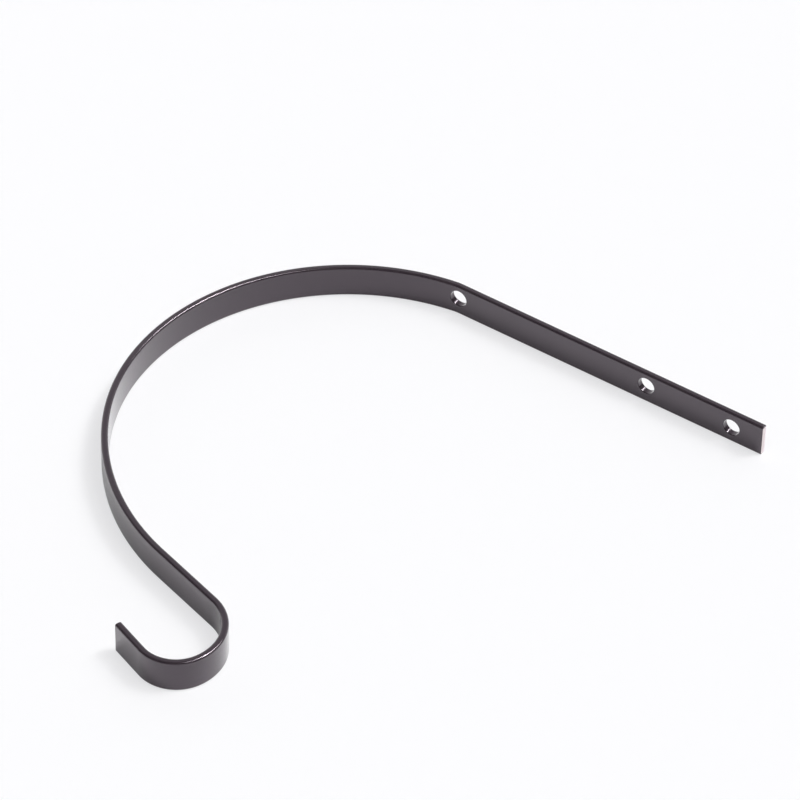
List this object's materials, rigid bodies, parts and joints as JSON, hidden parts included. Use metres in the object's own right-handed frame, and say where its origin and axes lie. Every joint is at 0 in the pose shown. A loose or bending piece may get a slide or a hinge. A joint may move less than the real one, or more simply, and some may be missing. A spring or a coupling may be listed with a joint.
{
  "type": "wall plant hook",
  "caption": "Wall hook for a hanging plant: one black flat bar with a straight screw leg, a wide crook and a small open hook at its end.",
  "frame": {"origin": "middle of the leg's flat back face, on the bar's middle line", "axes": "+X along the leg towards its free end, away from the crook; +Y out of the leg's back face, into the wall; +Z across the bar's width, up as it lies on its edge"},
  "size_m": [0.1995, 0.2117, 0.0126],
  "materials": {
    "black_paint": "smooth black semi-gloss paint"
  },
  "bodies": {
    "root": {"hook_bar": "black_paint"}
  },
  "joints": []
}
